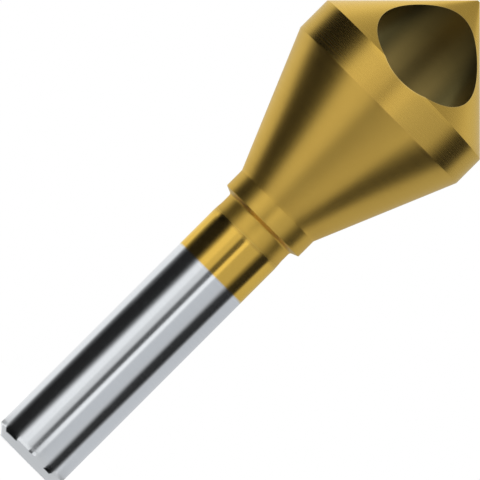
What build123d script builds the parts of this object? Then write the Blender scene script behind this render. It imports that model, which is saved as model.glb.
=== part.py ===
# Cross-hole countersink bit: a 90 degree countersink of high-speed steel on a plain round shank.
#
# It is one piece, turned and ground from bar. The head is a double cone with a narrow band at its
# widest, and one slanted hole goes through it. The hole breaks out of the nose cone at the front,
# where its rim is the cutting lip, and out of the back cone behind, where the chips leave. The nose
# cone is ground off centre, towards the lip, so that it falls away behind the lip.
#
# The bit stands on its shank. The origin is the centre of the shank's end face, +Z runs along the
# axis to the nose, and the mouth of the hole faces -Y. Sizes are in millimetres and degrees.

from build123d import *
import os
from math import cos, radians, sin, tan

# Shank: the ground cylinder that a chuck or a collet grips
shank_diameter = 12.0
shank_length = 43.6
shank_end_chamfer = 1.35  # at 45 degrees

# Neck: a shallow relief above the shank, where the wheel that grinds the shank runs out
neck_diameter = 11.75
neck_length = 3.2
neck_run_out = 1.6  # the part of that length in which the neck narrows from the shank

# Collar: the shoulder that the head stands on
collar_diameter = 14.2
collar_length = 3.0
collar_face_lean = 0.5  # its lower face is a flat cone, and drops this far towards the neck

# Head: back cone, band and nose cone
head_diameter = 31.0
back_cone_length = 20.0
band_length = 5.0
nose_angle = 90.0  # included
nose_flat_diameter = 0.4
nose_offset = 0.5  # of the nose cone's axis from the bit's own
lip_bearing = -132.0  # which way it is offset, in degrees round from +X

# Cross hole: its axis crosses the bit's own axis
hole_diameter = 17.0
hole_crossing_depth = 16.6  # from the nose cone's point down to where the axes cross
hole_lean = 35.5  # from square across the bit, upwards to the front

# Edges: those of the nose cone and of the hole are ground last and stay sharp, because they cut
edge_radius = 0.15  # on the lower corners of the band and of the collar
root_radius = 0.4  # in the two inner corners of the collar

# Radii, and heights above the shank's end
shank_radius = shank_diameter / 2
neck_radius = neck_diameter / 2
collar_radius = collar_diameter / 2
head_radius = head_diameter / 2
nose_flat_radius = nose_flat_diameter / 2

neck_top = shank_length + neck_length
collar_base = neck_top + collar_face_lean
collar_top = collar_base + collar_length
back_cone_top = collar_top + back_cone_length
band_top = back_cone_top + band_length
nose_slope = tan(radians(nose_angle / 2))  # radius gained for each millimetre below the point
nose_point = band_top + head_radius / nose_slope
nose_top = nose_point - nose_flat_radius / nose_slope

# Corners of the half section that are rounded, as (radius, height)
collar_foot = (neck_radius, neck_top)
collar_rim = (collar_radius, collar_base)
collar_head = (collar_radius, collar_top)
band_foot = (head_radius, back_cone_top)

# The upright plane through the bit's axis and the lip, seen with the lip on the left, and the axis
# that the nose cone is ground about
lip_plane = Plane.XZ.rotated((0, 0, lip_bearing + 180))
nose_axis = Axis(lip_plane.from_local_coords((-nose_offset, 0, 0)), (0, 0, 1))
wheel_reach = head_diameter  # outwards from that axis, well past the band

hole_plane = Plane(
    origin=(0, 0, nose_point - hole_crossing_depth),
    x_dir=(1, 0, 0),
    z_dir=(0, -cos(radians(hole_lean)), sin(radians(hole_lean))),
)

with BuildPart() as countersink_bit:
    # The turned blank, from half of its lengthwise section, as (radius, height). Its band still runs
    # up to the height of the nose.
    with BuildSketch(Plane.XZ) as half_section:
        with BuildLine():
            Polyline(
                (0, 0),
                (shank_radius - shank_end_chamfer, 0),
                (shank_radius, shank_end_chamfer),
                (shank_radius, shank_length),
                (neck_radius, shank_length + neck_run_out),
                collar_foot,
                collar_rim,
                collar_head,
                band_foot,
                (head_radius, nose_top),
                (0, nose_top),
                close=True,
            )
        make_face()
        rim_corner, *_ = half_section.vertices().sort_by_distance(collar_rim)
        band_corner, *_ = half_section.vertices().sort_by_distance(band_foot)
        fillet([rim_corner, band_corner], edge_radius)
        neck_corner, *_ = half_section.vertices().sort_by_distance(collar_foot)
        cone_corner, *_ = half_section.vertices().sort_by_distance(collar_head)
        fillet([neck_corner, cone_corner], root_radius)
    revolve(axis=Axis.Z)

    # The nose cone: the section of what the wheel grinds away is turned about the cone's own axis
    with BuildSketch(lip_plane):
        with BuildLine():
            Polyline(
                (nose_flat_radius - nose_offset, nose_top),
                (wheel_reach - nose_offset, nose_top),
                (wheel_reach - nose_offset, nose_point - wheel_reach / nose_slope),
                close=True,
            )
        make_face()
    revolve(axis=nose_axis, mode=Mode.SUBTRACT)

    # The slanted hole, right through the head
    with Locations(hole_plane):
        Hole(hole_diameter / 2)

countersink_bit.part.label = "countersink_bit"

os.makedirs("parts", exist_ok=True)
export_step(countersink_bit.part, "parts/countersink_bit.step")
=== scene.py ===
# Looks of a cross-hole countersink bit: the turned steel body with its nitride coating and its bare
# ground shank, the white table on which it stands and the light tent round it.
#
# Everything is in metres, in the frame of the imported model: the bit stands on its shank's end at
# the origin, +Z runs along the axis to the nose, and the mouth of the cross hole faces -Y.

from math import cos, pi, radians, sin

import bpy
from mathutils import Matrix, Vector


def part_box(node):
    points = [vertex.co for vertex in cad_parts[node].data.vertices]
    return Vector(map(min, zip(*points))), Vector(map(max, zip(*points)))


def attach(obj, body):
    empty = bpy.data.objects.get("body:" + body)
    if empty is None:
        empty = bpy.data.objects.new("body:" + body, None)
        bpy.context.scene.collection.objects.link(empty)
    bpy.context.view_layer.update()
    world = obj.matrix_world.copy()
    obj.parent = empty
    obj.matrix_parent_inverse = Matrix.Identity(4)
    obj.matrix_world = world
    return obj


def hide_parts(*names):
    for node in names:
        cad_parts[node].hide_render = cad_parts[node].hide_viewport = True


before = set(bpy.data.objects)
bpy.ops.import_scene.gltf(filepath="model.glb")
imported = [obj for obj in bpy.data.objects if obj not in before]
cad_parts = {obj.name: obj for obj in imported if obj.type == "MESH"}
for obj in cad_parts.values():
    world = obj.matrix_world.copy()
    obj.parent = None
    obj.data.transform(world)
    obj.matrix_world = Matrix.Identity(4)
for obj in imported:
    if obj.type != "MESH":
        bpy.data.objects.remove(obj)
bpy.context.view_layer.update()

# ------------------------------------------------------------------------------------------------
# Body
# The whole bit is one piece of high-speed steel, turned and ground from bar. Its outline is spun
# round the axis as on a lathe, its nose cone is set off centre towards the lip, as it is ground,
# and the slanted hole, whose rim is the lip, is drilled through it.

mm = 0.001
body_low, body_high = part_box("countersink_bit")
head_radius = (body_high.x - body_low.x) / 2
nose_top = body_high.z

shank_radius = 6.0 * mm
shank_length = 43.6 * mm
shank_end_chamfer = 1.35 * mm
coating_end = 36.8 * mm
coating_fade = 0.2 * mm
neck_radius = 5.875 * mm
neck_run_out = 1.6 * mm
neck_top = shank_length + 3.2 * mm
collar_radius = 7.1 * mm
collar_base = neck_top + 0.5 * mm
collar_top = collar_base + 3.0 * mm
back_cone_top = collar_top + 20.0 * mm
nose_flat_radius = 0.2 * mm
nose_point = nose_top + nose_flat_radius  # the nose cone's sides slope at 45 degrees
band_top = nose_point - head_radius
lip_bearing = radians(-132)  # round from +X
nose_offset = 0.5 * mm * Vector((cos(lip_bearing), sin(lip_bearing), 0))

hole_radius = 8.5 * mm
hole_lean = radians(35.5)  # from square across the bit, upwards to the front
hole_crossing = Vector((0, 0, nose_point - 16.6 * mm))
hole_axis = Vector((0, -cos(hole_lean), sin(hole_lean)))

edge_round = 0.15 * mm
root_round = 0.4 * mm
ground_round = 0.06 * mm  # of the band's upper corner, which a wheel leaves nearly sharp
shank_end_round = 0.3 * mm  # of the corner between shank and chamfer, worn by the chuck
sharp = 0.0
weld_distance = 0.0005 * mm  # closes the seam and the two poles of what is spun
drill_length = 60 * mm  # well past both mouths of the hole

# Half of the lengthwise section, from the shank's end up to the nose: radius, height and the radius
# to which that corner is rounded
outline = [
    (0.0, 0.0, sharp),
    (shank_radius - shank_end_chamfer, 0.0, edge_round),
    (shank_radius, shank_end_chamfer, shank_end_round),
    (shank_radius, coating_end, sharp),
    (shank_radius, shank_length, sharp),
    (neck_radius, shank_length + neck_run_out, sharp),
    (neck_radius, neck_top, root_round),
    (collar_radius, collar_base, edge_round),
    (collar_radius, collar_top, root_round),
    (head_radius, back_cone_top, edge_round),
    (head_radius, band_top, ground_round),
    (nose_flat_radius, nose_top, sharp),
    (0.0, nose_top, sharp),
]
outline_mesh = bpy.data.meshes.new("countersink_body")
outline_mesh.from_pydata(
    [(radius, 0, height) for radius, height, _ in outline],
    [(corner, corner + 1) for corner in range(len(outline) - 1)],
    [],
)
corner_round = outline_mesh.attributes.new("corner_round", "FLOAT", "POINT")
corner_round.data.foreach_set("value", [rounding for _, _, rounding in outline])


def add(tree, kind, settings=None, inputs=None):
    """Adds a node to a tree. An input is a value, or the output socket of another node."""
    node = tree.nodes.new(kind)
    for name, value in (settings or {}).items():
        setattr(node, name, value)
    for name, value in (inputs or {}).items():
        if isinstance(value, bpy.types.NodeSocket):
            tree.links.new(value, node.inputs[name])
        else:
            node.inputs[name].default_value = value
    return node


# The lathe: rounds the outline's corners, divides its long stretches, spins it, shifts the nose
# cone, drills the hole and gives the two finishes
turn_and_drill = bpy.data.node_groups.new("turn_and_drill", "GeometryNodeTree")
sockets = {
    name: turn_and_drill.interface.new_socket(name, in_out="INPUT", socket_type=kind).identifier
    for name, kind in [
        ("Outline", "NodeSocketGeometry"),
        ("Columns", "NodeSocketInt"),
        ("Row Height", "NodeSocketFloat"),
        ("Arc Steps", "NodeSocketInt"),
        ("Head Radius", "NodeSocketFloat"),
        ("Nose Flat Radius", "NodeSocketFloat"),
        ("Nose Offset", "NodeSocketVector"),
        ("Band Foot", "NodeSocketFloat"),
        ("Band Top", "NodeSocketFloat"),
        ("Hole Radius", "NodeSocketFloat"),
        ("Hole Length", "NodeSocketFloat"),
        ("Hole Crossing", "NodeSocketVector"),
        ("Hole Turn", "NodeSocketVector"),
        ("Sharp Angle", "NodeSocketFloat"),
        ("Coating End", "NodeSocketFloat"),
        ("Bare Steel", "NodeSocketMaterial"),
        ("Coated Steel", "NodeSocketMaterial"),
    ]
}
turn_and_drill.interface.new_socket("Body", in_out="OUTPUT", socket_type="NodeSocketGeometry")
given = add(turn_and_drill, "NodeGroupInput").outputs

line = add(turn_and_drill, "GeometryNodeMeshToCurve", inputs={"Mesh": given["Outline"]})
rounding = add(
    turn_and_drill,
    "GeometryNodeInputNamedAttribute",
    {"data_type": "FLOAT"},
    {"Name": "corner_round"},
)
rounded = add(
    turn_and_drill,
    "GeometryNodeFilletCurve",
    {"mode": "POLY"},
    {
        "Curve": line.outputs["Curve"],
        "Count": given["Arc Steps"],
        "Radius": rounding.outputs["Attribute"],
    },
)
index = add(turn_and_drill, "GeometryNodeInputIndex").outputs["Index"]
place = add(turn_and_drill, "GeometryNodeInputPosition").outputs["Position"]
following = add(turn_and_drill, "FunctionNodeIntegerMath", {"operation": "ADD"}, {0: index, 1: 1})
following_place = add(
    turn_and_drill,
    "GeometryNodeFieldAtIndex",
    {"data_type": "FLOAT_VECTOR", "domain": "POINT"},
    {"Value": place, "Index": following.outputs[0]},
)
stretch = add(
    turn_and_drill,
    "ShaderNodeVectorMath",
    {"operation": "DISTANCE"},
    {0: place, 1: following_place.outputs["Value"]},
)
rows_wanted = add(
    turn_and_drill,
    "ShaderNodeMath",
    {"operation": "DIVIDE"},
    {0: stretch.outputs["Value"], 1: given["Row Height"]},
)
divided = add(
    turn_and_drill,
    "GeometryNodeSubdivideCurve",
    inputs={"Curve": rounded.outputs["Curve"], "Cuts": rows_wanted.outputs[0]},
)
rings = add(
    turn_and_drill,
    "GeometryNodeAttributeDomainSize",
    {"component": "CURVE"},
    {"Geometry": divided.outputs["Curve"]},
)
ring_points = add(
    turn_and_drill, "FunctionNodeIntegerMath", {"operation": "ADD"}, {0: given["Columns"], 1: 1}
)
blank = add(
    turn_and_drill,
    "GeometryNodeMeshGrid",
    inputs={"Vertices X": rings.outputs["Point Count"], "Vertices Y": ring_points.outputs[0]},
)
ring = add(
    turn_and_drill,
    "FunctionNodeIntegerMath",
    {"operation": "DIVIDE_FLOOR"},
    {0: index, 1: ring_points.outputs[0]},
)
column = add(
    turn_and_drill,
    "FunctionNodeIntegerMath",
    {"operation": "MODULO"},
    {0: index, 1: ring_points.outputs[0]},
)
ring_place = add(
    turn_and_drill,
    "GeometryNodeSampleIndex",
    {"data_type": "FLOAT_VECTOR", "domain": "POINT"},
    {"Geometry": divided.outputs["Curve"], "Value": place, "Index": ring.outputs[0]},
)
share_of_turn = add(
    turn_and_drill,
    "ShaderNodeMath",
    {"operation": "DIVIDE"},
    {0: column.outputs[0], 1: given["Columns"]},
)
turn = add(
    turn_and_drill,
    "ShaderNodeMath",
    {"operation": "MULTIPLY"},
    {0: share_of_turn.outputs[0], 1: 2 * pi},
)
spun_place = add(
    turn_and_drill,
    "ShaderNodeVectorRotate",
    {"rotation_type": "Z_AXIS"},
    {"Vector": ring_place.outputs["Value"], "Angle": turn.outputs[0]},
)

# The nose cone's shift: its tip moves sideways by the whole offset, and its foot, which stays on
# the band, moves up or down instead, by as much as the offset leans its way. The band stretches to
# fit.
ring_parts = add(
    turn_and_drill, "ShaderNodeSeparateXYZ", inputs={"Vector": ring_place.outputs["Value"]}
)
out_to_foot = add(
    turn_and_drill,
    "ShaderNodeMapRange",
    inputs={
        "Value": ring_parts.outputs["X"],
        "From Min": given["Nose Flat Radius"],
        "From Max": given["Head Radius"],
    },
)
up_the_band = add(
    turn_and_drill,
    "ShaderNodeMapRange",
    inputs={
        "Value": ring_parts.outputs["Z"],
        "From Min": given["Band Foot"],
        "From Max": given["Band Top"],
    },
)
outwards = add(
    turn_and_drill,
    "ShaderNodeVectorRotate",
    {"rotation_type": "Z_AXIS"},
    {"Vector": (1, 0, 0), "Angle": turn.outputs[0]},
)
foot_rise = add(
    turn_and_drill,
    "ShaderNodeVectorMath",
    {"operation": "DOT_PRODUCT"},
    {0: outwards.outputs["Vector"], 1: given["Nose Offset"]},
)
foot_shift = add(
    turn_and_drill, "ShaderNodeCombineXYZ", inputs={"Z": foot_rise.outputs["Value"]}
)
nose_shift = add(
    turn_and_drill,
    "ShaderNodeMix",
    {"data_type": "VECTOR"},
    {
        "Factor": out_to_foot.outputs[0],
        "A": given["Nose Offset"],
        "B": foot_shift.outputs["Vector"],
    },
)
shift = add(
    turn_and_drill,
    "ShaderNodeVectorMath",
    {"operation": "SCALE"},
    {0: nose_shift.outputs["Result"], "Scale": up_the_band.outputs[0]},
)
spun = add(
    turn_and_drill,
    "GeometryNodeSetPosition",
    inputs={
        "Geometry": blank.outputs["Mesh"],
        "Position": spun_place.outputs["Vector"],
        "Offset": shift.outputs["Vector"],
    },
)
closed = add(
    turn_and_drill,
    "GeometryNodeMergeByDistance",
    inputs={"Geometry": spun.outputs["Geometry"], "Distance": weld_distance},
)

hole_rows = add(
    turn_and_drill,
    "ShaderNodeMath",
    {"operation": "DIVIDE"},
    {0: given["Hole Length"], 1: given["Row Height"]},
)
drill = add(
    turn_and_drill,
    "GeometryNodeMeshCylinder",
    inputs={
        "Vertices": given["Columns"],
        "Side Segments": hole_rows.outputs[0],
        "Radius": given["Hole Radius"],
        "Depth": given["Hole Length"],
    },
)
drill_in_place = add(
    turn_and_drill,
    "GeometryNodeTransform",
    inputs={
        "Geometry": drill.outputs["Mesh"],
        "Translation": given["Hole Crossing"],
        "Rotation": given["Hole Turn"],
    },
)
drilled = add(
    turn_and_drill,
    "GeometryNodeMeshBoolean",
    {"operation": "DIFFERENCE", "solver": "EXACT"},
    {"Mesh 1": closed.outputs["Geometry"], "Mesh 2": drill_in_place.outputs["Geometry"]},
)

smooth = add(
    turn_and_drill,
    "GeometryNodeSetShadeSmooth",
    {"domain": "FACE"},
    {"Geometry": drilled.outputs["Mesh"], "Shade Smooth": True},
)
angle = add(turn_and_drill, "GeometryNodeInputMeshEdgeAngle").outputs["Unsigned Angle"]
is_sharp = add(
    turn_and_drill,
    "FunctionNodeCompare",
    {"data_type": "FLOAT", "operation": "GREATER_THAN"},
    {0: angle, 1: given["Sharp Angle"]},
)
edged = add(
    turn_and_drill,
    "GeometryNodeSetShadeSmooth",
    {"domain": "EDGE"},
    {
        "Geometry": smooth.outputs["Geometry"],
        "Selection": is_sharp.outputs[0],
        "Shade Smooth": False,
    },
)
real_body = add(
    turn_and_drill,
    "GeometryNodeRealizeInstances",
    inputs={"Geometry": edged.outputs["Geometry"]},
)
place_parts = add(turn_and_drill, "ShaderNodeSeparateXYZ", inputs={"Vector": place})
above_coating_end = add(
    turn_and_drill,
    "FunctionNodeCompare",
    {"data_type": "FLOAT", "operation": "GREATER_THAN"},
    {0: place_parts.outputs["Z"], 1: given["Coating End"]},
)
steel_body = add(
    turn_and_drill,
    "GeometryNodeSetMaterial",
    inputs={"Geometry": real_body.outputs["Geometry"], "Material": given["Bare Steel"]},
)
coated_body = add(
    turn_and_drill,
    "GeometryNodeSetMaterial",
    inputs={
        "Geometry": steel_body.outputs["Geometry"],
        "Selection": above_coating_end.outputs[0],
        "Material": given["Coated Steel"],
    },
)
add(turn_and_drill, "NodeGroupOutput", inputs={"Body": coated_body.outputs["Geometry"]})


def linear(code):
    """The linear colour of an sRGB hex code such as E4BB51."""
    parts = [int(code[i : i + 2], 16) / 255 for i in (0, 2, 4)]
    parts = [p / 12.92 if p <= 0.04045 else ((p + 0.055) / 1.055) ** 2.4 for p in parts]
    return (*parts, 1)


# Bare high-speed steel, cylindrically ground: nearly as sharp as a mirror, and broken up a little
# by the wheel's marks, which run round it in fine rings
bare_steel = bpy.data.materials.new("ground_high_speed_steel")
bare_steel.use_nodes = True
tree = bare_steel.node_tree
tree.nodes.clear()

bare_dark = linear("DADEE2")
bare_light = linear("E5E8EB")
ground_roughness = 0.15
ground_unevenness = 0.03  # how far the roughness strays from mark to mark
grinding_pitch = 0.25 * mm  # real marks are a tenth of this, too fine to see
mark_depth = 0.0009 * mm


def ring_marks(tree):
    """The point, its height, and there the wheel's marks, which run round the bit's axis."""
    at = add(tree, "ShaderNodeTexCoord").outputs["Object"]
    parts = add(tree, "ShaderNodeSeparateXYZ", inputs={0: at}).outputs
    across = add(tree, "ShaderNodeCombineXYZ", inputs={0: parts["X"], 1: parts["Y"]})
    radius = add(tree, "ShaderNodeVectorMath", {"operation": "LENGTH"}, {0: across.outputs[0]})
    ring_at = add(
        tree, "ShaderNodeCombineXYZ", inputs={0: radius.outputs["Value"], 1: parts["Z"]}
    )
    marks = add(
        tree,
        "ShaderNodeTexNoise",
        {"noise_dimensions": "2D"},
        {
            "Vector": ring_at.outputs[0],
            "Scale": 1 / grinding_pitch,
            "Detail": 3.0,
            "Roughness": 0.6,
        },
    )
    return at, parts["Z"], marks.outputs[0]


_, _, marks = ring_marks(tree)
colour = add(
    tree,
    "ShaderNodeMix",
    {"data_type": "RGBA"},
    {"Factor": marks, "A": bare_dark, "B": bare_light},
)
roughness = add(
    tree,
    "ShaderNodeMapRange",
    inputs={
        "Value": marks,
        "To Min": ground_roughness - ground_unevenness,
        "To Max": ground_roughness + ground_unevenness,
    },
)
relief = add(tree, "ShaderNodeBump", inputs={"Distance": mark_depth, "Height": marks})
metal = add(
    tree,
    "ShaderNodeBsdfPrincipled",
    inputs={
        "Base Color": colour.outputs["Result"],
        "Metallic": 1.0,
        "Roughness": roughness.outputs[0],
        "Normal": relief.outputs["Normal"],
    },
)
add(tree, "ShaderNodeOutputMaterial", inputs={"Surface": metal.outputs[0]})

# The same steel under a golden coat of titanium nitride. Over the ground shank it is as sharp as
# the bare steel. The neck and the head are left satin by turning and a coarser wheel, so they look
# softer and deeper. It stays golden where the surface turns away from the eye, under a faint haze
# of light.
coated_steel = bpy.data.materials.new("titanium_nitride_coated_steel")
coated_steel.use_nodes = True
tree = coated_steel.node_tree
tree.nodes.clear()

gold_edge = linear("FFF6D0")  # where the surface turns away
bright_golds = linear("E2B750"), linear("E6BF56")
satin_golds = linear("CCA64C"), linear("D0AC51")
# painted shade: a paler, duller tan gold for the collar's root, between the collar and the neck
root_painted_shade_gold = linear("D6B87C")
# partly wear and partly a painted highlight: a paler gold in a thin line round the hole's rim
rim_wear_and_highlight_gold = linear("D9B868")
# Inside the hole: brown for the thinner coat, with painted shade, darker to the front, lighter to
# the back and darkest at the sides
bore_front_coat_and_shade_brown = linear("79693A")
bore_back_coat_and_shade_brown = linear("A48E52")
bore_side_painted_shade_brown = linear("453C1E")
cloud_size = 7 * mm  # of the slow drift in colour that a coating batch leaves

satin_start = 44.0 * mm
root_low = neck_top + 0.1 * mm
root_high = collar_base - 0.05 * mm
root_fade = 0.1 * mm
drilling_pitch = 0.5 * mm  # real marks are a third of this, too fine to see
rim_wear_and_highlight_width = 0.2 * mm  # width of the line round the hole, rubbed bright and partly a painted highlight
rim_edge = hole_radius + 0.02 * mm  # just outside the hole's wall
bore_front = 3 * mm  # along the hole from where it crosses the bit's axis, positive to the front
bore_back = -9 * mm
bore_side_start = 3.2 * mm  # sideways from the middle of the hole
bore_side_full = 6.0 * mm
bore_roughness = 0.34
coated_unevenness = 0.04

roughness_up_the_bit = [  # (height, roughness)
    (satin_start - 0.2 * mm, ground_roughness),
    (satin_start + 0.2 * mm, 0.40),
    (neck_top, 0.40),
    (collar_base, 0.33),
    (collar_top - 0.2 * mm, 0.33),
    (collar_top + 0.4 * mm, 0.36),
    (collar_top + 6 * mm, 0.315),
    (back_cone_top - 0.2 * mm, 0.295),
    (back_cone_top + 0.2 * mm, 0.27),
]
depth_up_the_bit = [  # (height, depth): 0 is the shank's bright gold, 1 the deepest satin gold
    (satin_start - 0.2 * mm, 0.0),
    (satin_start - 0.1 * mm, 1.0),
    (satin_start + 0.1 * mm, 1.0),
    (satin_start + 0.3 * mm, 0.4),
    (neck_top, 0.4),
    (collar_base, 0.65),
    (collar_top, 0.65),
    (collar_top + 0.6 * mm, 1.0),
    (band_top - 0.5 * mm, 1.0),
    (band_top + 0.6 * mm, 0.45),
]


def ramp_up_the_bit(tree, height, stops_by_height):
    """A value that goes from stop to stop with the height up the bit."""
    share = add(tree, "ShaderNodeMath", {"operation": "DIVIDE"}, {0: height, 1: nose_top})
    ramp = add(tree, "ShaderNodeValToRGB", inputs={"Fac": share.outputs[0]})
    stops = ramp.color_ramp.elements
    while len(stops) < len(stops_by_height):
        stops.new(1.0)
    for stop, (stop_height, value) in zip(stops, stops_by_height):
        stop.position = stop_height / nose_top
        stop.color = (value, value, value, 1)
    return ramp.outputs["Color"]


at, height, grinding = ring_marks(tree)

# Where a point is in relation to the slanted hole: how far along it, and how far from its axis
from_crossing = add(
    tree, "ShaderNodeVectorMath", {"operation": "SUBTRACT"}, {0: at, 1: hole_crossing}
)
hole_depth = add(
    tree,
    "ShaderNodeVectorMath",
    {"operation": "DOT_PRODUCT"},
    {0: from_crossing.outputs[0], 1: hole_axis},
)
beside_axis = add(
    tree,
    "ShaderNodeVectorMath",
    {"operation": "CROSS_PRODUCT"},
    {0: from_crossing.outputs[0], 1: hole_axis},
)
from_hole_axis = add(
    tree, "ShaderNodeVectorMath", {"operation": "LENGTH"}, {0: beside_axis.outputs[0]}
)
in_hole = add(
    tree,
    "ShaderNodeMath",
    {"operation": "LESS_THAN"},
    {0: from_hole_axis.outputs["Value"], 1: rim_edge},
).outputs[0]
# A thin line round the hole's rim, partly rubbed bright and partly a painted highlight
on_rim = add(
    tree,
    "ShaderNodeMapRange",
    {"interpolation_type": "SMOOTHSTEP"},
    {
        "Value": from_hole_axis.outputs["Value"],
        "From Min": hole_radius + rim_wear_and_highlight_width,
        "From Max": rim_edge,
    },
).outputs[0]

# Marks: rings round the bit outside, and rings round the drill inside the hole
drilling = add(
    tree,
    "ShaderNodeTexNoise",
    {"noise_dimensions": "1D"},
    {
        "W": hole_depth.outputs["Value"],
        "Scale": 1 / drilling_pitch,
        "Detail": 3.0,
        "Roughness": 0.6,
    },
)
marks = add(
    tree,
    "ShaderNodeMix",
    {"data_type": "FLOAT"},
    {"Factor": in_hole, "A": grinding, "B": drilling.outputs[0]},
).outputs["Result"]
clouds = add(
    tree,
    "ShaderNodeTexNoise",
    inputs={"Vector": at, "Scale": 1 / cloud_size, "Detail": 2.0, "Roughness": 0.5},
).outputs[0]

# Colours: bright gold on the ground shank, deeper on the satin head, and a paler, duller tan gold
# in the collar's root as painted shade. Inside the hole, brown where the coat is thinner, with
# painted shade: darker to the front and darkest at its sides. Round the hole's rim a paler line,
# partly rubbed bright and partly a painted highlight
bright_gold = add(
    tree,
    "ShaderNodeMix",
    {"data_type": "RGBA"},
    {"Factor": clouds, "A": bright_golds[0], "B": bright_golds[1]},
).outputs["Result"]
satin_gold = add(
    tree,
    "ShaderNodeMix",
    {"data_type": "RGBA"},
    {"Factor": clouds, "A": satin_golds[0], "B": satin_golds[1]},
).outputs["Result"]
depth = ramp_up_the_bit(tree, height, depth_up_the_bit)
gold = add(
    tree,
    "ShaderNodeMix",
    {"data_type": "RGBA"},
    {"Factor": depth, "A": bright_gold, "B": satin_gold},
).outputs["Result"]
# Painted shade in the collar's root: between the neck's top and the collar's foot the gold turns to
# the tan
root_middle = (root_low + root_high) / 2
root_half = (root_high - root_low) / 2
from_root = add(
    tree,
    "ShaderNodeMath",
    {"operation": "SUBTRACT"},
    {0: height, 1: root_middle},
)
root_distance = add(tree, "ShaderNodeMath", {"operation": "ABSOLUTE"}, {0: from_root.outputs[0]})
in_root_painted_shade = add(
    tree,
    "ShaderNodeMapRange",
    {"interpolation_type": "SMOOTHSTEP"},
    {
        "Value": root_distance.outputs[0],
        "From Min": root_half + root_fade,
        "From Max": root_half - root_fade,
    },
).outputs[0]
gold_with_root_shade = add(
    tree,
    "ShaderNodeMix",
    {"data_type": "RGBA"},
    {"Factor": in_root_painted_shade, "A": gold, "B": root_painted_shade_gold},
).outputs["Result"]
gold_worn_and_highlit = add(
    tree,
    "ShaderNodeMix",
    {"data_type": "RGBA"},
    {"Factor": on_rim, "A": gold_with_root_shade, "B": rim_wear_and_highlight_gold},
).outputs["Result"]
# Painted shade inside the hole: darker towards its front mouth, lighter deeper in towards the back
deep_in_hole = add(
    tree,
    "ShaderNodeMapRange",
    inputs={
        "Value": hole_depth.outputs["Value"],
        "From Min": bore_front,
        "From Max": bore_back,
    },
).outputs[0]
bore_middle = add(
    tree,
    "ShaderNodeMix",
    {"data_type": "RGBA"},
    {"Factor": deep_in_hole, "A": bore_front_coat_and_shade_brown, "B": bore_back_coat_and_shade_brown},
).outputs["Result"]
# More painted shade at the hole's sides, away from its middle in x
sideways = add(tree, "ShaderNodeSeparateXYZ", inputs={0: at}).outputs["X"]
off_middle = add(tree, "ShaderNodeMath", {"operation": "ABSOLUTE"}, {0: sideways})
in_side_shade_of_hole = add(
    tree,
    "ShaderNodeMapRange",
    {"interpolation_type": "SMOOTHSTEP"},
    {"Value": off_middle.outputs[0], "From Min": bore_side_start, "From Max": bore_side_full},
).outputs[0]
bore = add(
    tree,
    "ShaderNodeMix",
    {"data_type": "RGBA"},
    {"Factor": in_side_shade_of_hole, "A": bore_middle, "B": bore_side_painted_shade_brown},
).outputs["Result"]
gold_everywhere = add(
    tree,
    "ShaderNodeMix",
    {"data_type": "RGBA"},
    {"Factor": in_hole, "A": gold_worn_and_highlit, "B": bore},
).outputs["Result"]
coated = add(
    tree,
    "ShaderNodeMapRange",
    {"interpolation_type": "SMOOTHSTEP"},
    {"Value": height, "From Min": coating_end, "From Max": coating_end + 2 * coating_fade},
).outputs[0]
colour = add(
    tree,
    "ShaderNodeMix",
    {"data_type": "RGBA"},
    {"Factor": coated, "A": bare_dark, "B": gold_everywhere},
).outputs["Result"]

# Roughness: ground shank, satin head, drilled hole, each a little uneven from mark to mark
roughness_by_place = add(
    tree,
    "ShaderNodeMix",
    {"data_type": "FLOAT"},
    {
        "Factor": in_hole,
        "A": ramp_up_the_bit(tree, height, roughness_up_the_bit),
        "B": bore_roughness,
    },
).outputs["Result"]
unevenness = add(
    tree,
    "ShaderNodeMapRange",
    inputs={"Value": marks, "To Min": -coated_unevenness, "To Max": coated_unevenness},
).outputs[0]
roughness = add(
    tree, "ShaderNodeMath", {"operation": "ADD"}, {0: roughness_by_place, 1: unevenness}
).outputs[0]
relief = add(tree, "ShaderNodeBump", inputs={"Distance": mark_depth, "Height": marks})
metal = add(
    tree,
    "ShaderNodeBsdfPrincipled",
    inputs={
        "Base Color": colour,
        "Metallic": 1.0,
        "Roughness": roughness,
        "Specular Tint": gold_edge,
        "Coat Weight": 0.15,
        "Coat Roughness": 0.5,
        "Normal": relief.outputs["Normal"],
    },
)
add(tree, "ShaderNodeOutputMaterial", inputs={"Surface": metal.outputs[0]})

body = bpy.data.objects.new("countersink_body", outline_mesh)
bpy.context.collection.objects.link(body)
lathe = body.modifiers.new("turn_and_drill", "NODES")
lathe.node_group = turn_and_drill
lathe[sockets["Columns"]] = 256
lathe[sockets["Row Height"]] = 0.6 * mm
lathe[sockets["Arc Steps"]] = 4
lathe[sockets["Head Radius"]] = head_radius
lathe[sockets["Nose Flat Radius"]] = nose_flat_radius
lathe[sockets["Nose Offset"]] = nose_offset
lathe[sockets["Band Foot"]] = back_cone_top
lathe[sockets["Band Top"]] = band_top
lathe[sockets["Hole Radius"]] = hole_radius
lathe[sockets["Hole Length"]] = drill_length
lathe[sockets["Hole Crossing"]] = hole_crossing
lathe[sockets["Hole Turn"]] = (pi / 2 - hole_lean, 0, 0)
lathe[sockets["Sharp Angle"]] = radians(25)
lathe[sockets["Coating End"]] = coating_end
lathe[sockets["Bare Steel"]] = bare_steel
lathe[sockets["Coated Steel"]] = coated_steel
finished_mesh = bpy.data.meshes.new_from_object(
    body.evaluated_get(bpy.context.evaluated_depsgraph_get())
)
body.modifiers.remove(lathe)
body.data = finished_mesh
body.data.name = "countersink_body"
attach(body, "root")
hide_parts("countersink_bit")

# ------------------------------------------------------------------------------------------------
# Table
# A sheet of matt white board, on which the bit stands. It is lifted to plain white where the camera
# or the metal looks at it, and still takes the bit's shadow.

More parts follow.
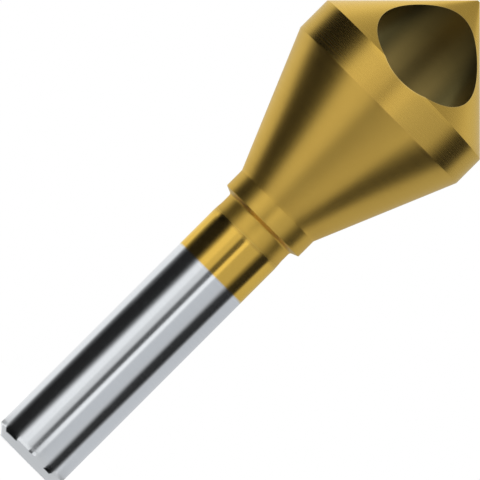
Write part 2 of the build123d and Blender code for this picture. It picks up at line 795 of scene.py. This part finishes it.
table_size = 1.2
board_white = linear("E7E7E7")
board_lift = 0.25  # what lit board of that colour lacks to plain white


def seen_by_camera_or_metal(tree):
    """1 for a ray from the camera, or one that metal or glass sends on, and 0 for any other."""
    ray = add(tree, "ShaderNodeLightPath").outputs
    seen = add(
        tree,
        "ShaderNodeMath",
        {"operation": "MAXIMUM"},
        {0: ray["Is Camera Ray"], 1: ray["Is Glossy Ray"]},
    )
    seen_or_through = add(
        tree,
        "ShaderNodeMath",
        {"operation": "MAXIMUM"},
        {0: seen.outputs[0], 1: ray["Is Transmission Ray"]},
    )
    return seen_or_through.outputs[0]


board = bpy.data.materials.new("matt_white_board")
board.use_nodes = True
tree = board.node_tree
tree.nodes.clear()
lift = add(
    tree,
    "ShaderNodeMath",
    {"operation": "MULTIPLY"},
    {0: seen_by_camera_or_metal(tree), 1: board_lift},
)
board_face = add(
    tree,
    "ShaderNodeBsdfPrincipled",
    inputs={
        "Base Color": board_white,
        "Roughness": 1.0,
        "Specular IOR Level": 0.0,
        "Emission Color": (1, 1, 1, 1),
        "Emission Strength": lift.outputs[0],
    },
)
add(tree, "ShaderNodeOutputMaterial", inputs={"Surface": board_face.outputs[0]})

table_mesh = bpy.data.meshes.new("table")
half_table = table_size / 2
table_mesh.from_pydata(
    [
        (-half_table, -half_table, 0),
        (half_table, -half_table, 0),
        (half_table, half_table, 0),
        (-half_table, half_table, 0),
    ],
    [],
    [(0, 1, 2, 3)],
)
table_mesh.materials.append(board)
table = bpy.data.objects.new("table", table_mesh)
bpy.context.collection.objects.link(table)

# ------------------------------------------------------------------------------------------------
# Light tent
# White light from all round, with grey and black cards stood about the bit, which show only as the
# streaks that they give to metal. Azimuths are in degrees from the front, positive towards +X.


def sheet_faces(rows, width):
    """The faces of a sheet whose rows are each so many corners wide."""
    return [
        (corner, corner + 1, corner + width + 1, corner + width)
        for row in range(len(rows) - 1)
        for corner in range(row * width, (row + 1) * width - 1)
    ]


def make_card(name, tint, verts, faces, tones):
    """A card that glows by its own tones, so it needs no light, and that only metal sees."""
    material = bpy.data.materials.new(name)
    material.use_nodes = True
    card_tree = material.node_tree
    card_tree.nodes.clear()
    tone = add(card_tree, "ShaderNodeAttribute", {"attribute_name": "tone"})
    glow = add(
        card_tree,
        "ShaderNodeEmission",
        inputs={"Color": (*tint, 1), "Strength": tone.outputs["Fac"]},
    )
    add(card_tree, "ShaderNodeOutputMaterial", inputs={"Surface": glow.outputs[0]})

    mesh = bpy.data.meshes.new(name)
    mesh.from_pydata(verts, [], faces)
    mesh.attributes.new("tone", "FLOAT", "POINT").data.foreach_set("value", tones)
    mesh.materials.append(material)
    card = bpy.data.objects.new(name, mesh)
    bpy.context.collection.objects.link(card)
    card.visible_camera = False
    card.visible_diffuse = False
    card.visible_shadow = False
    card.visible_transmission = False
    card.visible_volume_scatter = False


def stand_card(name, distance, rows, tint=(1, 1, 1), steps=6):
    """Stands a card, curved about the axis. Each row gives a height and the tones by azimuth."""
    verts = []
    tones = []
    for row_height, stops in rows:
        for (azimuth, tone), (next_azimuth, next_tone) in zip(stops, stops[1:]):
            for share in [step / steps for step in range(steps)]:
                turn = radians(azimuth * (1 - share) + next_azimuth * share)
                verts.append((distance * sin(turn), -distance * cos(turn), row_height))
                tones.append(tone * (1 - share) + next_tone * share)
        last = radians(stops[-1][0])
        verts.append((distance * sin(last), -distance * cos(last), row_height))
        tones.append(stops[-1][1])
    make_card(name, tint, verts, sheet_faces(rows, len(verts) // len(rows)), tones)


def lay_sheet(name, card_height, columns, rows):
    """Lays a level sheet at a height. Each row gives its y and its tone at each column's x."""
    verts = [(x, y, card_height) for y, _ in rows for x in columns]
    tones = [tone for _, row_tones in rows for tone in row_tones]
    make_card(name, (1, 1, 1), verts, sheet_faces(rows, len(columns)), tones)


def lay_foot(name, tone, card_height, rows, steps=12):
    """Lays a card's foot on the table. Each row gives a distance from the axis and two azimuths."""
    verts = []
    for distance, first, last in rows:
        for share in [step / steps for step in range(steps + 1)]:
            azimuth = radians(first * (1 - share) + last * share)
            verts.append((distance * sin(azimuth), -distance * cos(azimuth), card_height))
    make_card(name, (1, 1, 1), verts, sheet_faces(rows, steps + 1), [tone] * len(verts))


near = 50 * mm  # from the axis: the black cards
far = 110 * mm  # the pale and grey walls
strip_distance = far * 0.955  # just inside the walls, where the back cone looks down past it
slit_distance = far * 0.9
tent_top = 160 * mm
overhead_height = 180 * mm
black = 0.008
cool_tint = (0.985, 1.0, 1.03)

# The left card's outer edge goes from white to black in five steps, softly or crisply
edge_steps = (-3, 3, 8, 13, 20)
soft = (0.8, 0.35, 0.12, 0.06, 0.015)
crisp = (0.7, 0.3, 0.01, 0.005, 0.003)


def fade(outer, tones):
    """The stops of an outer edge at that azimuth, through those five tones."""
    return [(outer + step, tone) for step, tone in zip(edge_steps, tones)]


def left_tones(outer_stops, inner_shift):
    """The left card's stops: those of its outer edge, then an inner edge that fades to white."""
    inner_stops = [(-61, 0.02), (-55.5, 0.08), (-50, 0.3), (-45, 0.75), (-41, 1.0)]
    return outer_stops + [(azimuth + inner_shift, tone) for azimuth, tone in inner_stops]


# The black card at the left, in three heights. The shank looks level and the back cone looks down,
# so the middle one, which both see, is cut narrow, and a strip further off widens it for the shank
# alone.
stand_card(
    "left_black_card_low",
    near,
    [
        (0, left_tones(fade(-112.5, soft), -1.5)),
        (7 * mm, left_tones(fade(-112.5, soft), -1.2)),
        (20 * mm, left_tones(fade(-112.5, soft), 0.8)),
        (25 * mm, left_tones(fade(-112, soft), 1.2)),
    ],
)
stand_card(
    "left_black_card_middle",
    near,
    [
        (25 * mm, left_tones([(-101.5, 0.10), (-97, 0.06), (-90, 0.015)], 1.2)),
        (35 * mm, left_tones([(-101, 0.12), (-96, 0.06), (-89, 0.015)], 2.0)),
        (42 * mm, left_tones([(-102.5, 0.10), (-99, 0.06), (-92, 0.015)], 2.0)),
        (43.5 * mm, left_tones([(-102.5, 0.10), (-99, 0.06), (-92, 0.015)], 1.8)),
    ],
)
stand_card(
    "left_black_card_high",
    near,
    [
        (43.5 * mm, left_tones(fade(-103.5, crisp), 1.8)),
        (45 * mm, left_tones(fade(-104.5, crisp), 0)),
        (48 * mm, left_tones(fade(-106, crisp), 0)),
        (56 * mm, left_tones(fade(-105, crisp), 0)),
        (70 * mm, left_tones(fade(-111, crisp), 0)),
        (100 * mm, left_tones(fade(-111, crisp), 0)),
    ],
)


def left_strip_tones(shift):
    """The strip's stops, which fade outwards from the middle card's edge."""
    stops = [(-118.2, 0.8), (-112.2, 0.35), (-107.2, 0.12), (-102, 0.08)]
    return [(azimuth + shift, tone) for azimuth, tone in stops]


stand_card(
    "left_edge_strip",
    strip_distance,
    [
        (24 * mm, left_strip_tones(0)),
        (29 * mm, left_strip_tones(0)),
        (35 * mm, left_strip_tones(3)),
        (41 * mm, left_strip_tones(0)),
        (44 * mm, left_strip_tones(0)),
    ],
)

# The black card at the right, in the same way. Its strip widens the inner edge.
inner_edge_tones = [0.62, 0.30]
black_and_outer_edge_tones = [0.03, 0.02, 0.2, 0.62]


def right_tones(*azimuths):
    """The right card's stops, at six azimuths, or at the last four where it has no inner edge."""
    tones = inner_edge_tones + black_and_outer_edge_tones
    return list(zip(azimuths, tones[-len(azimuths) :]))


stand_card(
    "right_black_card_low",
    near,
    [
        (0, right_tones(50, 56, 60.5, 78.5, 82.5, 87.5)),
        (7 * mm, right_tones(49.5, 55.5, 60, 79, 83, 88)),
        (12 * mm, right_tones(49.2, 55.2, 59.7, 80.5, 84.5, 89.5)),
    ],
)
stand_card(
    "right_black_card_middle",
    near,
    [
        (12 * mm, right_tones(61, 80.5, 84.5, 89.5)),
        (16 * mm, right_tones(59.8, 82, 86, 91)),
        (20 * mm, right_tones(58.7, 83, 87, 92)),
        (28 * mm, right_tones(57, 84.2, 88.2, 93.2)),
    ],
)
stand_card(
    "right_black_card_high",
    near,
    [
        (28 * mm, right_tones(49.1, 55.1, 60.2, 84.2, 88.2, 93.2)),
        (33 * mm, right_tones(49.1, 55.1, 60.5, 85, 89, 94)),
        (41 * mm, right_tones(49.3, 56.3, 66.5, 88, 91.5, 96)),
        (52 * mm, right_tones(51.3, 58.3, 67, 91.3, 95, 99.8)),
        (73 * mm, right_tones(61, 68, 76, 98, 102, 107)),
        (100 * mm, right_tones(64, 71, 79, 100, 105, 110)),
    ],
)
right_strip_stops = [(50.3, 0.62), (56.3, 0.30), (60.8, 0.03), (66, 0.03)]
stand_card(
    "right_edge_strip",
    strip_distance,
    [(11 * mm, right_strip_stops), (29 * mm, right_strip_stops)],
)

# Feet that carry the cards' tones on over the table, right up to the shank, for its end chamfer.
# Where two of them cross, the higher one shows.
lay_foot(
    "left_card_foot",
    black,
    0.1 * mm,
    [(5.7 * mm, -68, -32), (9 * mm, -80, -36), (20 * mm, -99, -46), (near, -108, -50)],
)
lay_foot(
    "right_card_foot",
    black,
    0.1 * mm,
    [(5.7 * mm, 34, 52), (9 * mm, 39, 59), (20 * mm, 49, 74), (near, 54.5, 82)],
)
lay_foot(
    "slit_foot",
    0.12,
    0.15 * mm,
    [(6 * mm, -4.3, 1.5), (9 * mm, -5.5, 2.7), (30 * mm, -7, 3.4)],
    steps=4,
)
lay_foot(
    "grey_foot",
    0.66,
    0.08 * mm,
    [(6.6 * mm, 8, 178), (9 * mm, 10, 178), (near, 14, 178)],
    steps=48,
)
lay_foot(
    "shank_end_foot",
    0.68,
    0.05 * mm,
    [(3 * mm, -180, 180), (6.8 * mm, -180, 180)],
    steps=48,
)
lay_foot(
    "left_rear_foot",
    0.8,
    0.45 * mm,
    [(6.6 * mm, -165, -96), (14 * mm, -165, -96)],
    steps=24,
)
lay_foot(
    "right_rear_foot",
    0.68,
    0.45 * mm,
    [(6.6 * mm, 96, 165), (14 * mm, 96, 165)],
    steps=24,
)


def slit_tones(left, right, tone):
    """The slit's stops: grey at its left edge, which softens it, and one tone across it."""
    return [(left - 4, 0.64), (left, tone), (right, tone)]


# In front, a dark slit with a bright strip beside it, for the thin double line up the bit's middle
stand_card(
    "front_slit",
    slit_distance,
    [
        (0, slit_tones(-6.5, 4, 0.1)),
        (20 * mm, slit_tones(-6, 6, 0.08)),
        (34 * mm, slit_tones(-5.5, 6, 0.13)),
        (46 * mm, slit_tones(-5.5, 6.8, 0.13)),
        (60 * mm, slit_tones(-6, 1, 0.45)),
        (tent_top, slit_tones(-5, 0, 0.5)),
    ],
)
stand_card(
    "front_gleam",
    slit_distance,
    [
        (0, [(4, 1.13), (15, 1.13)]),
        (20 * mm, [(6, 1.13), (17, 1.13)]),
        (34 * mm, [(6.8, 1.12), (17, 1.12)]),
        (52 * mm, [(7.8, 1.12), (18, 1.12)]),
    ],
)

# The walls: pale in front of the left card and behind it, and a cool grey all the way round the
# right
stand_card(
    "left_pale_card",
    far,
    [
        (0, [(-25, 0.8), (-8, 0.68)]),
        (25 * mm, [(-25, 0.8), (-8, 0.74)]),
        (50 * mm, [(-25, 0.8), (-8, 0.8)]),
        (70 * mm, [(-25, 0.9), (-8, 0.85)]),
        (tent_top, [(-25, 0.9), (-8, 0.85)]),
    ],
)
stand_card(
    "left_rear_card",
    far,
    [
        (0, [(-178, 0.95), (-114, 0.95)]),
        (10 * mm, [(-178, 0.98), (-114, 0.98)]),
        (28 * mm, [(-178, 0.98), (-114, 0.98)]),
        (34 * mm, [(-178, 0.95), (-114, 0.95)]),
        (39 * mm, [(-178, 1.0), (-114, 1.0)]),
        (42 * mm, [(-178, 1.0), (-114, 1.0)]),
        (44 * mm, [(-178, 0.82), (-114, 0.9)]),
        (52 * mm, [(-178, 0.76), (-114, 0.87)]),
        (64 * mm, [(-178, 0.88), (-114, 0.88)]),
        (90 * mm, [(-178, 0.88), (-114, 0.88)]),
        (100 * mm, [(-178, 1.0), (-114, 1.0)]),
    ],
)
stand_card(
    "grey_wall",
    far,
    [
        (0, [(17, 0.64), (18, 0.64), (60, 0.64), (90, 0.66), (178, 0.66)]),
        (20 * mm, [(17, 0.64), (18, 0.64), (60, 0.64), (90, 0.66), (178, 0.66)]),
        (35 * mm, [(17, 0.64), (18, 0.64), (60, 0.62), (90, 0.63), (178, 0.62)]),
        (41 * mm, [(17, 0.66), (18, 0.65), (60, 0.64), (90, 0.78), (178, 0.55)]),
        (54 * mm, [(17, 0.70), (22, 0.64), (60, 0.64), (90, 0.66), (178, 0.58)]),
        (70 * mm, [(17, 0.80), (45, 0.64), (60, 0.64), (90, 0.66), (178, 0.60)]),
        (tent_top, [(17, 0.88), (45, 0.66), (60, 0.64), (90, 0.76), (178, 0.76)]),
    ],
    tint=cool_tint,
)

# Level sheets just over the table, for the back cone and the hole, which look down on them
sheet_height = 0.4 * mm
lay_sheet(
    "front_sheet",
    sheet_height,
    [x * mm for x in (-70, -26, -13, -10, 6, 10, 27, 31, 70)],
    [
        (-98 * mm, [0.9, 0.9, 0.72, 0.27, 0.25, 0.23, 0.24, 0.36, 0.42]),
        (-79 * mm, [0.9, 0.9, 0.74, 0.29, 0.27, 0.26, 0.27, 0.42, 0.46]),
        (-71 * mm, [0.9, 0.9, 0.80, 0.43, 0.40, 0.38, 0.40, 0.60, 0.64]),
        (-62 * mm, [0.9, 0.9, 0.86, 0.43, 0.40, 0.48, 0.62, 0.70, 0.72]),
        (-35 * mm, [0.9, 0.9, 0.86, 0.36, 0.34, 0.60, 0.70, 0.76, 0.76]),
        (-30 * mm, [0.9, 0.9, 0.90, 0.80, 0.70, 0.60, 0.70, 0.76, 0.76]),
    ],
)
lay_sheet(
    "rear_sheet",
    sheet_height,
    [x * mm for x in (-90, -64, -40, -16, -9, 9, 16, 40, 64, 90)],
    [
        (9 * mm, [0.6, 0.5, 0.45, 0.4, 0.12, 0.12, 0.4, 0.45, 0.5, 0.6]),
        (105 * mm, [0.6, 0.5, 0.45, 0.4, 0.12, 0.12, 0.4, 0.45, 0.5, 0.6]),
    ],
)

# The sheet overhead is dark in the middle, and lightens ring by ring, for the nose cone
overhead_rings = [  # (radius in mm, tone)
    (1, 0.42),
    (75, 0.45),
    (85, 0.50),
    (97, 0.56),
    (114, 0.64),
    (133, 0.80),
    (164, 1.0),
    (215, 1.0),
]
ring_corners = 32
overhead_verts = [
    (
        distance * mm * cos(2 * pi * corner / ring_corners),
        distance * mm * sin(2 * pi * corner / ring_corners),
        overhead_height,
    )
    for distance, _ in overhead_rings
    for corner in range(ring_corners)
]
overhead_faces = [
    (
        ring * ring_corners + corner,
        ring * ring_corners + (corner + 1) % ring_corners,
        (ring + 1) * ring_corners + (corner + 1) % ring_corners,
        (ring + 1) * ring_corners + corner,
    )
    for ring in range(len(overhead_rings) - 1)
    for corner in range(ring_corners)
]
overhead_tones = [tone for _, tone in overhead_rings for _ in range(ring_corners)]
make_card("overhead_card", (1, 1, 1), overhead_verts, overhead_faces, overhead_tones)

# ------------------------------------------------------------------------------------------------
# Lamps and surroundings
# A broad soft lamp from high on the left gives the shadow on the table. The white room gives the
# rest.

lamp_data = bpy.data.lights.new("soft_lamp", "SUN")
lamp_data.angle = radians(40)
lamp_data.energy = 1.6
lamp = bpy.data.objects.new("soft_lamp", lamp_data)
lamp_aim = Vector((0.45, 0.55, -0.85))
lamp.matrix_world = lamp_aim.to_track_quat("-Z", "Y").to_matrix().to_4x4()
lamp.visible_camera = False
lamp.visible_glossy = False
bpy.context.collection.objects.link(lamp)

room_light = 0.6  # what the room lends to the table; to the eye and to metal it is plain white
room = bpy.data.worlds.new("white_room")
bpy.context.scene.world = room
room.use_nodes = True
tree = room.node_tree
tree.nodes.clear()
level = add(
    tree,
    "ShaderNodeMapRange",
    inputs={"Value": seen_by_camera_or_metal(tree), "To Min": room_light, "To Max": 1.0},
)
white = add(
    tree, "ShaderNodeBackground", inputs={"Color": (1, 1, 1, 1), "Strength": level.outputs[0]}
)
add(tree, "ShaderNodeOutputWorld", inputs={"Surface": white.outputs[0]})

# ------------------------------------------------------------------------------------------------
# Camera
# It looks level along +Y from far off, through a very long lens, and is rolled so that the bit runs
# from the lower left to the upper right with its nose in the corner.

view_width = 67.45 * mm  # across the frame, at the bit's axis
view_centre = Vector((-0.35 * mm, 0, 43.15 * mm))
camera_distance = 3.0
sensor_width = 36
camera_data = bpy.data.cameras.new("camera")
camera_data.sensor_width = sensor_width
camera_data.lens = sensor_width * camera_distance / view_width
camera_data.clip_start = 0.1
camera_data.clip_end = 20
camera = bpy.data.objects.new("camera", camera_data)
right = Vector((1, 0, 1)).normalized()
up = Vector((-1, 0, 1)).normalized()
back = Vector((0, -1, 0))
turned = Matrix((right, up, back)).transposed().to_4x4()
camera.matrix_world = Matrix.Translation(view_centre + back * camera_distance) @ turned
bpy.context.collection.objects.link(camera)
bpy.context.scene.camera = camera

bpy.context.scene.view_settings.view_transform = "Standard"
